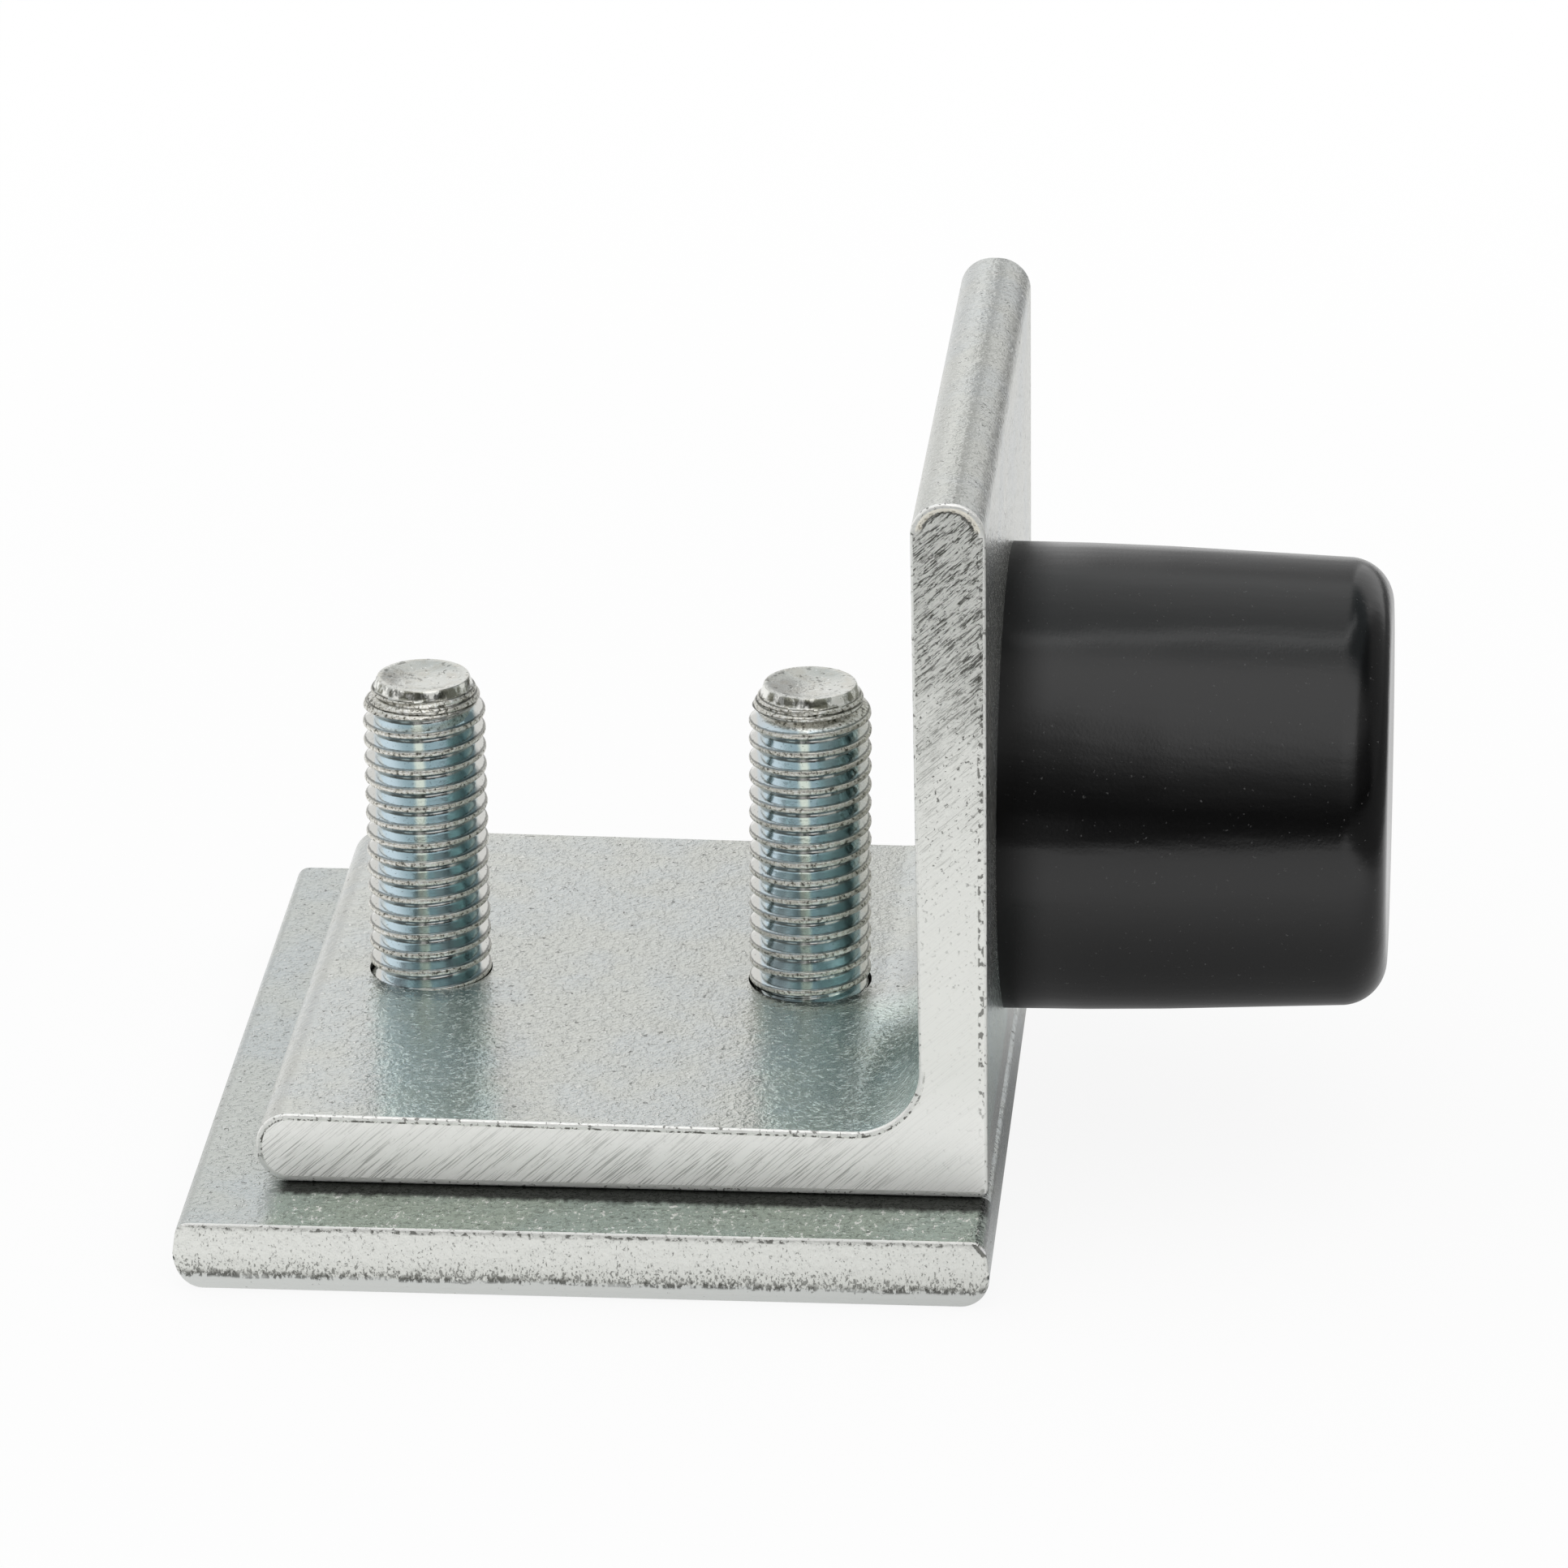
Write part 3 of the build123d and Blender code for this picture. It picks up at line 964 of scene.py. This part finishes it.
def torn_by_shear(x, z, level):
    """Height of the fracture on a sheared end, about -1 to 1."""
    wander = noise.noise(Vector((x * 0.5, level, 0.0))) * 0.2
    above = min(max((z - 1.1 - wander) / 0.25, 0.0), 1.0)
    coarse = noise.noise(Vector((x * 1.6, level, z * 1.2)))
    fine = 0.5 * noise.noise(Vector((x * 4.0, level, z * 3.0)))
    return above * ((coarse + fine) * 0.7 - 0.5)


def pull(work, faces, along):
    """Extrudes a flat region along a vector."""
    pulled = bmesh.ops.extrude_face_region(work, geom=faces)
    moved = [e for e in pulled["geom"] if isinstance(e, bmesh.types.BMVert)]
    bmesh.ops.translate(work, vec=along, verts=moved)


def cut_with(piece, cutter_work):
    """Cuts a closed tool shape out of a piece for good."""
    mesh = bpy.data.meshes.new("cutter")
    bmesh.ops.recalc_face_normals(cutter_work, faces=cutter_work.faces)
    cutter_work.to_mesh(mesh)
    cutter_work.free()
    cutter = bpy.data.objects.new("cutter", mesh)
    bpy.context.scene.collection.objects.link(cutter)
    boolean = piece.modifiers.new("cut", "BOOLEAN")
    boolean.object = cutter
    boolean.operation = "DIFFERENCE"
    boolean.solver = "EXACT"
    graph = bpy.context.evaluated_depsgraph_get()
    finished = bpy.data.meshes.new_from_object(piece.evaluated_get(graph))
    piece.modifiers.remove(boolean)
    old = piece.data
    piece.data = finished
    bpy.data.meshes.remove(old)
    bpy.data.objects.remove(cutter)
    bpy.data.meshes.remove(mesh)


def drill(piece, sides, from_radius, to_radius, depth, place):
    """Cuts a round or a tapered hole."""
    tool = bmesh.new()
    bmesh.ops.create_cone(
        tool, cap_ends=True, segments=sides, radius1=from_radius, radius2=to_radius, depth=depth, matrix=place
    )
    cut_with(piece, tool)


# Pieces


def make_plate():
    """The base plate: rolled side edges, and ends that a shear has rolled over below and torn above."""
    s = sizes()
    lo, hi = PLATE
    lumps = s.fracture_relief * HIGHEST_LUMP  # so that the torn ends stay inside the frame's bounds
    lo = Vector((lo.x, CAD_BOX[0].y + lumps, lo.z))
    hi = Vector((hi.x, CAD_BOX[1].y - lumps, hi.z))
    middle = (lo.z + hi.z) / 2
    work = bmesh.new()
    flat = s.plate_edge_swell
    section = (
        (lo.x + flat, lo.z),
        (hi.x - flat, lo.z),
        (hi.x, middle),
        (hi.x - flat, hi.z),
        (lo.x + flat, hi.z),
        (lo.x, middle),
    )
    verts = [work.verts.new((x, lo.y, z)) for x, z in section]
    work.faces.new(verts)
    round_corners(work, [v for v in verts if on_level(v, middle)], s.plate_edge_radius, 6)
    round_corners(work, [v for v in work.verts if on_level(v, hi.z)], s.plate_edge_radius, 6)
    round_corners(work, [v for v in work.verts if on_level(v, lo.z)], s.plate_lower_radius, 8)
    pull(work, work.faces[:], (0, hi.y - lo.y, 0))
    lower = [e for e in end_edges(work, lo.y, hi.y) if max(v.co.z for v in e.verts) < middle + TINY]
    soften(work, lower, s.shear_rollover * 0.85, 6)
    for vertex in work.verts:
        for end in (lo.y, hi.y):
            if abs(vertex.co.y - end) < s.shear_rollover and vertex.co.z < middle + TINY:
                kept = 0.14 + 0.86 * min((middle - vertex.co.z) / (1.2 * MM), 1.0)
                vertex.co.y = end + (vertex.co.y - end) * kept
    upper = [e for e in end_edges(work, lo.y, hi.y) if min(v.co.z for v in e.verts) > middle - TINY]
    soften(work, upper, s.burr_width, 2)
    ends = [f for f in work.faces if abs(f.normal.y) > 0.98]
    roughen(work, ends, s.relief_step, s.fracture_relief, torn_by_shear)
    for face in work.faces:
        face.material_index = 1 if abs(face.normal.y) > 0.35 else 0
    for face in work.faces:
        if abs(face.normal.y) > 0.35 and face.calc_center_median().z > hi.z - s.burr_width * 1.2:
            face.material_index = 2
    for vertex in work.verts:
        vertex.co.x += s.plate_slip * (0.72 - 0.28 * (vertex.co.y * 2 - lo.y - hi.y) / (hi.y - lo.y))
    finishes = [
        rolled_zinc("plate skin", in_front_of_angle),
        sheared_zinc("plate sheared ends"),
        cut_rim_zinc("plate burr"),
    ]
    plate = to_object("plate", work, finishes, "base_plate", slot="zinc_steel")
    smooth(plate, 40)


def make_angle():
    """The stop angle: a rolled section with sawn ends, drilled for the studs and for the screw."""
    s = sizes()
    lo, hi = ANGLE
    work = bmesh.new()
    section = [
        (hi.x, lo.y, lo.z),
        (hi.x, lo.y, hi.z),
        (hi.x - s.leg_thickness_toe, lo.y, hi.z),
        (hi.x - s.leg_thickness_root, lo.y, lo.z + s.leg_thickness_root),
        (lo.x, lo.y, lo.z + s.leg_thickness_toe),
        (lo.x, lo.y, lo.z),
    ]
    heel, top_out, top_in, root, toe_up, toe_down = [work.verts.new(point) for point in section]
    work.faces.new((heel, top_out, top_in, root, toe_up, toe_down))
    round_corners(work, [top_out, top_in, toe_up, toe_down], s.toe_radius, 12)
    root = [v for v in work.verts if near(v, hi.x - s.leg_thickness_root, lo.z + s.leg_thickness_root)]
    round_corners(work, root, s.root_radius, 16)
    heel = [v for v in work.verts if near(v, hi.x, lo.z)]
    round_corners(work, heel, s.heel_radius, 6)
    pull(work, work.faces[:], (0, hi.y - lo.y, 0))
    soften(work, end_edges(work, lo.y, hi.y), s.cut_break, 3)
    for face in work.faces:
        face.material_index = 2 if abs(face.normal.y) > 0.2 else 0
    ends = [f for f in work.faces if abs(f.normal.y) > 0.98]
    for width, finish in ((s.rim_width, 2), (s.burr_width, 3)):
        for end in ends:
            ring = bmesh.ops.inset_region(work, faces=[end], thickness=width, use_even_offset=True)
            for face in ring["faces"]:
                heights = [v.co.z for v in face.verts]
                face.material_index = 1 if max(heights) - min(heights) > 10 * MM else finish
    for end in ends:
        end.material_index = 1
    roughen(work, ends, s.relief_step, s.saw_relief, torn_by_saw)
    finishes = [
        rolled_zinc("angle skin", painted_reflection=where_studs_reflect),
        sawn_zinc("angle sawn ends"),
        cut_rim_zinc("angle cut rim"),
        burr_shadow_zinc("angle folded burr"),
    ]
    angle = to_object("angle", work, finishes, "stop_angle", slot="zinc_steel")
    for box in (STUD_LEFT, STUD_RIGHT):
        at = Matrix.Translation(((box[0].x + box[1].x) / 2, (box[0].y + box[1].y) / 2, lo.z))
        drill(angle, 96, s.foot_hole_radius, s.foot_hole_radius, 16 * MM, at)
    screw_y = (SCREW[0].y + SCREW[1].y) / 2
    screw_z = (SCREW[0].z + SCREW[1].z) / 2
    along_x = Matrix.Rotation(math.radians(90), 4, "Y")
    through = Matrix.Translation((hi.x, screw_y, screw_z)) @ along_x
    drill(angle, 64, s.screw_hole_radius, s.screw_hole_radius, 20 * MM, through)
    over = 0.5 * MM
    sink = Matrix.Translation((SCREW[0].x - over + s.screw_head_radius / 2, screw_y, screw_z)) @ along_x
    drill(angle, 64, s.screw_head_radius + over, over, s.screw_head_radius, sink)
    smooth(angle, 30)


def thread_radius(turn, crest, depth):
    """Radius of a rolled thread at a place along its pitch, 0 at a root and 0.5 at a crest."""
    from_root = abs(((turn + 0.5) % 1.0) - 0.5)
    if from_root <= ROOT_FLAT:
        return crest - depth + 0.06 * depth * (from_root / ROOT_FLAT) ** 2
    if from_root >= CREST_FLAT:
        past = (0.5 - from_root) / (0.5 - CREST_FLAT)
        return crest - 0.07 * depth * past * past
    share = (from_root - ROOT_FLAT) / (CREST_FLAT - ROOT_FLAT)
    return crest - depth + depth * (0.06 + 0.87 * share)


def lead_radius(below_top, crest):
    """Largest radius near the stud's end, where the blank is tapered."""
    for (d0, r0), (d1, r1) in zip(LEAD, LEAD[1:]):
        if below_top <= d1 * MM:
            return (r0 + (r1 - r0) * max(below_top / MM - d0, 0.0) / (d1 - d0)) * MM
    return crest


def make_stud(name, node, box, phase, lean):
    """A threaded stud with a tapered lead and a dished end. phase turns its helix, lean tilts it along X."""
    s = sizes()
    lo, hi = box
    axis_x, axis_y = (lo.x + hi.x) / 2, (lo.y + hi.y) / 2
    crest = (hi.x - lo.x) / 2
    pitch = s.thread_pitch
    thread_from = ANGLE[0].z + THREAD_START
    work = bmesh.new()
    points = []
    turns = int((hi.z - thread_from) / pitch) + 3
    start = thread_from - 1.5 * pitch
    for turn in range(turns):
        for share in PROFILE_SHARES:
            radius = thread_radius(share, crest, s.thread_depth)
            points.append((axis_x + radius, axis_y, start + (turn + share) * pitch))
    chain(work, points)
    bmesh.ops.spin(
        work,
        geom=work.verts[:] + work.edges[:],
        cent=(axis_x, axis_y, 0),
        axis=(0, 0, 1),
        dvec=(0, 0, pitch / s.round_steps),
        angle=2 * math.pi,
        steps=s.round_steps,
        use_duplicate=False,
    )
    bmesh.ops.remove_doubles(work, verts=work.verts, dist=SEAM)
    bmesh.ops.rotate(work, verts=work.verts, cent=(axis_x, axis_y, 0),
                     matrix=Matrix.Rotation(phase, 3, "Z"))
    for vertex in work.verts:
        out = Vector((vertex.co.x - axis_x, vertex.co.y - axis_y))
        z = min(max(vertex.co.z, thread_from), hi.z)
        below = hi.z - z
        radius = min(out.length, lead_radius(below, crest))
        runout = min(max((z - thread_from) / (0.8 * pitch), 0.0), 1.0)
        radius = s.shank_radius + (radius - s.shank_radius) * runout
        out = out.normalized() * radius
        vertex.co = (axis_x + out.x, axis_y + out.y, z)
    bmesh.ops.remove_doubles(work, verts=work.verts, dist=SEAM)
    rims = [e for e in work.edges if e.is_boundary]
    low_rim = [e for e in rims if max(v.co.z for v in e.verts) < thread_from + 1e-5]
    high_rim = [e for e in rims if min(v.co.z for v in e.verts) > hi.z - 1e-5]
    dropped = bmesh.ops.extrude_edge_only(work, edges=low_rim)
    foot = [v for v in dropped["geom"] if isinstance(v, bmesh.types.BMVert)]
    bmesh.ops.translate(work, vec=(0, 0, lo.z - thread_from), verts=foot)
    underside = [e for e in work.edges if e.is_boundary and e.verts[0].co.z < lo.z + SEAM]
    bmesh.ops.holes_fill(work, edges=underside, sides=0)
    rim = high_rim
    end_radius = lead_radius(0.0, crest)
    for share, drop in DISH:
        ring = bmesh.ops.extrude_edge_only(work, edges=rim)
        verts = [v for v in ring["geom"] if isinstance(v, bmesh.types.BMVert)]
        rim = [e for e in ring["geom"] if isinstance(e, bmesh.types.BMEdge) and e.is_boundary]
        for vertex in verts:
            out = Vector((vertex.co.x - axis_x, vertex.co.y - axis_y)).normalized() * end_radius * share
            vertex.co = (axis_x + out.x, axis_y + out.y, hi.z - drop * MM)
    bmesh.ops.remove_doubles(work, verts=work.verts, dist=SEAM)
    for face in work.faces:
        middle = face.calc_center_median()
        face.material_index = 1 if middle.z > hi.z - END_BAND else 0
    tilt = Matrix.Rotation(lean, 3, "Y")
    upper = [v for v in work.verts if v.co.z > thread_from + 1e-6]
    bmesh.ops.rotate(work, verts=upper, cent=(axis_x, axis_y, thread_from), matrix=tilt)
    first_crest = start + (0.5 - phase / (2 * math.pi)) * pitch
    thread = thread_zinc(name + " thread", axis_x, axis_y, hi.z, first_crest)
    stud = to_object(name, work, [thread, stud_end_zinc(name + " end")], node, slot="zinc_steel")
    soften_shading(stud, 38)


def make_buffer():
    """The rubber buffer: a tapering body with a rounded front edge."""
    s = sizes()
    lo, hi = BUFFER
    centre_y, centre_z = (lo.y + hi.y) / 2, (lo.z + hi.z) / 2
    foot_radius = (hi.z - lo.z) / 2
    length = hi.x - lo.x
    edge = s.buffer_edge_radius
    work = bmesh.new()
    points = [(lo.x, centre_y, centre_z + foot_radius * 0.55), (lo.x, centre_y, centre_z + foot_radius)]
    shoulder = length - edge
    for step in range(1, TAPER_RINGS + 1):
        share = step / TAPER_RINGS * shoulder / length
        for (a, da), (b, db) in zip(BUFFER_TAPER, BUFFER_TAPER[1:]):
            if a <= share <= b:
                drop = da + (db - da) * (share - a) / (b - a)
        points.append((lo.x + share * length, centre_y, centre_z + foot_radius - drop * MM))
    inner = points[-1][2] - centre_z - edge
    for step in range(1, EDGE_RINGS + 1):
        turn = math.radians(90) * step / EDGE_RINGS
        at = (lo.x + shoulder + edge * math.sin(turn), centre_y, centre_z + inner + edge * math.cos(turn))
        points.append(at)
    for share in (0.8, 0.5, 0.2, 0.0):
        points.append((hi.x, centre_y, centre_z + inner * share))
    spun(work, points, (1, 0, 0), (0, centre_y, centre_z), s.round_steps * 2)
    rim = [e for e in work.edges if e.is_boundary]
    bmesh.ops.holes_fill(work, edges=rim, sides=0)
    finish = moulded_rubber("buffer rubber")
    buffer = to_object("rubber_buffer", work, [finish], "buffer", slot="black_rubber")
    smooth(buffer, 50)


def dress(node, material):
    """Gives a carried-over CAD node its finish."""
    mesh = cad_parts[node].data
    mesh.materials.clear()
    mesh.materials.append(material)


# Stage


def make_stage():
    """A white floor. It keeps a faint shadow, and mirrored rays see it as a lit table with a dark edge."""
    work = bmesh.new()
    bmesh.ops.create_grid(work, x_segments=8, y_segments=8, size=6.0)
    mesh = bpy.data.meshes.new("studio floor")
    work.to_mesh(mesh)
    work.free()
    floor = bpy.data.objects.new("studio_floor", mesh)
    bpy.context.scene.collection.objects.link(floor)
    material, shade = new_material("studio floor")
    x, y, z = shade.place().axes()
    reach = (x * x + y * y) ** 0.5
    lit = shade.node("ShaderNodeBsdfPrincipled", {}, {"Base Color": colour("floor"), "Roughness": 0.9})[0]
    path = shade.node("ShaderNodeLightPath")
    plain = 0.89 + reach.step(60.0, 260.0) * 0.11
    edge = y + (x - 50.0).highest(-10.0) * 2.0
    dark = 0.02 + (1.0 - x.step(8.0, 32.0)) * 0.30
    table = edge.step(-150.0, -115.0) * (1.0 - x.step(84.0, 112.0) * 0.85)
    from_buffer = (((x - 35.0) * 0.4) ** 2.0 + y * y) ** 0.5
    shadow = 0.18 + from_buffer.step(0.0, 46.0) * 0.82
    behind = 1.0 - y.step(40.0, 70.0) * 0.14
    share = path["Is Camera Ray"] * plain + path["Is Glossy Ray"]
    white_or_dark = shade.mix(path["Is Camera Ray"], dark + table * shadow * behind * (1.0 - dark), 1.0)
    white = shade.node("ShaderNodeEmission", {}, {"Color": (1, 1, 1, 1), "Strength": white_or_dark})[0]
    both = shade.node("ShaderNodeMixShader", {}, {0: share, 1: lit, 2: white})[0]
    shade.node("ShaderNodeOutputMaterial", {}, {"Surface": both})
    mesh.materials.append(material)


def make_world():
    """A white room that the metal and the rubber mirror: a dark band low in front, with two
    windows above it, and overhead light from the left."""
    world = bpy.data.worlds.new("studio")
    bpy.context.scene.world = world
    world.use_nodes = True
    shade = Shade(world.node_tree)
    x, y, z = shade.node("ShaderNodeTexCoord")["Generated"].axes()
    path = shade.node("ShaderNodeLightPath")
    overhead = z.step(0.50, 0.66)
    left = (0.0 - x).step(-0.05, 0.35)
    right = x.step(0.06, 0.26)
    ceiling = shade.mix(left, (0.62, 0.64, 0.64, 1), (0.72, 0.76, 0.78, 1))
    ceiling = shade.mix(right, ceiling, (0.22, 0.25, 0.26, 1))
    aside = (x + 0.08).absolute().step(0.14, 0.30)
    pillar = x.step(-0.07, -0.015) * (1.0 - x.step(0.08, 0.14))
    wall = 0.98 - aside * 0.24 - pillar * 0.52
    wall = shade.grey(wall)
    ceiling = shade.mix(pillar * (1.0 - z.step(0.88, 0.995)), ceiling, (0.85, 0.86, 0.86, 1))
    back = shade.mix(overhead, wall, ceiling)
    tilted = z + x.lowest(0.05).highest(-0.06) * 3.0
    front = 0.01 + (0.0 - x).step(0.01, 0.19) * 0.28
    front = front + tilted.step(0.20, 0.42) * 0.26 + tilted.step(0.45, 0.80) * 1.05
    panes = z.step(0.24, 0.32) * (1.0 - z.step(0.5, 0.60))
    pane_left = (0.0 - x).step(0.45, 0.52) * (1.0 - (0.0 - x).step(0.70, 0.80))
    front = front.highest(panes * pane_left * 1.2)
    grey = shade.grey(front)
    mirrored = shade.mix((0.0 - y).step(-0.05, 0.25), back, grey)
    mirrored = shade.mix(x.step(0.52, 0.66), mirrored, mirrored * 0.3)
    room = shade.mix(path["Is Glossy Ray"], (0.95, 0.95, 0.95, 1), mirrored)
    seen = shade.mix(path["Is Camera Ray"], room, (1, 1, 1, 1))
    background = shade.node("ShaderNodeBackground", {}, {"Color": seen, "Strength": 1.0})[0]
    shade.node("ShaderNodeOutputWorld", {}, {"Surface": background})


def area_lamp(name, place, target, size, watts):
    """A white rectangular lamp that points at its target."""
    data = bpy.data.lights.new(name, "AREA")
    data.shape = "RECTANGLE"
    data.size, data.size_y = size
    data.energy = watts
    lamp = bpy.data.objects.new(name, data)
    bpy.context.scene.collection.objects.link(lamp)
    lamp.location = place
    lamp.rotation_euler = (Vector(target) - Vector(place)).to_track_quat("-Z", "Y").to_euler()


def make_camera():
    """The view that the photograph was taken from, solved from its straight edges."""
    yaw, pitch, roll = CAMERA_TURN
    ahead = Vector((-math.sin(yaw) * math.cos(pitch), math.cos(yaw) * math.cos(pitch), math.sin(pitch)))
    right = Vector((math.cos(yaw), math.sin(yaw), 0))
    up = right.cross(ahead)
    right, up = (
        right * math.cos(roll) + up * math.sin(roll),
        up * math.cos(roll) - right * math.sin(roll),
    )
    data = bpy.data.cameras.new("camera")
    data.sensor_fit = "AUTO"
    data.sensor_width = SENSOR
    data.lens = SENSOR * FOCAL_IN_PIXELS / PHOTO_WIDTH
    data.clip_start, data.clip_end = 0.02, 20.0
    camera = bpy.data.objects.new("camera", data)
    bpy.context.scene.collection.objects.link(camera)
    turn = Matrix((right, up, -ahead)).transposed().to_4x4()
    camera.matrix_world = Matrix.Translation(CAMERA_PLACE) @ turn
    bpy.context.scene.camera = camera


# Operators


class GATESTOP_OT_plate(bpy.types.Operator):
    """Builds the sheared base plate"""

    bl_idname = "gate_stop.plate"
    bl_label = "Base plate"

    def execute(self, context):
        make_plate()
        return {"FINISHED"}


class GATESTOP_OT_angle(bpy.types.Operator):
    """Builds the sawn and drilled stop angle"""

    bl_idname = "gate_stop.angle"
    bl_label = "Stop angle"

    def execute(self, context):
        make_angle()
        return {"FINISHED"}


class GATESTOP_OT_studs(bpy.types.Operator):
    """Builds the two threaded studs"""

    bl_idname = "gate_stop.studs"
    bl_label = "Threaded studs"

    def execute(self, context):
        make_stud("threaded_stud_left", "stud_left", STUD_LEFT, LEFT_PHASE, 0.0)
        make_stud("threaded_stud_right", "stud_right", STUD_RIGHT, RIGHT_PHASE, RIGHT_LEAN)
        return {"FINISHED"}


class GATESTOP_OT_buffer(bpy.types.Operator):
    """Builds the rubber buffer and dresses the fixing in it"""

    bl_idname = "gate_stop.buffer"
    bl_label = "Rubber buffer"

    def execute(self, context):
        make_buffer()
        fixing = stud_end_zinc("buffer fixing")
        dress("buffer_insert", fixing)
        dress("buffer_screw", fixing)
        return {"FINISHED"}


class GATESTOP_OT_stage(bpy.types.Operator):
    """Sets up the floor, the light and the camera"""

    bl_idname = "gate_stop.stage"
    bl_label = "Stage and camera"

    def execute(self, context):
        make_stage()
        make_world()
        area_lamp("strip light above", (0.085, 0.09, 0.62), (0.0, 0.0, 0.02), (0.05, 0.5), 0.10)
        make_camera()
        context.scene.view_settings.view_transform = "Standard"
        return {"FINISHED"}


class GATESTOP_PT_sidebar(bpy.types.Panel):
    """Lists the gate stop's pieces"""

    bl_idname = "GATESTOP_PT_sidebar"
    bl_label = "Gate Stop"
    bl_space_type = "VIEW_3D"
    bl_region_type = "UI"
    bl_category = "Gate Stop"

    def draw(self, context):
        layout = self.layout
        for step in STEPS:
            layout.operator(step.bl_idname)
        for name in GateStopSizes.__annotations__:
            layout.prop(context.scene.gate_stop_sizes, name)
        for name in GateStopColours.__annotations__:
            layout.prop(context.scene.gate_stop_colours, name)


STEPS = (GATESTOP_OT_plate, GATESTOP_OT_angle, GATESTOP_OT_studs, GATESTOP_OT_buffer, GATESTOP_OT_stage)
CLASSES = (GateStopSizes, GateStopColours) + STEPS + (GATESTOP_PT_sidebar,)


def register():
    for cls in CLASSES:
        bpy.utils.register_class(cls)
    bpy.types.Scene.gate_stop_sizes = PointerProperty(type=GateStopSizes)
    bpy.types.Scene.gate_stop_colours = PointerProperty(type=GateStopColours)


def unregister():
    del bpy.types.Scene.gate_stop_colours
    del bpy.types.Scene.gate_stop_sizes
    for cls in reversed(CLASSES):
        bpy.utils.unregister_class(cls)


def main():
    register()
    bpy.ops.gate_stop.plate()
    bpy.ops.gate_stop.angle()
    bpy.ops.gate_stop.studs()
    bpy.ops.gate_stop.buffer()
    bpy.ops.gate_stop.stage()


if __name__ == "__main__":
    main()
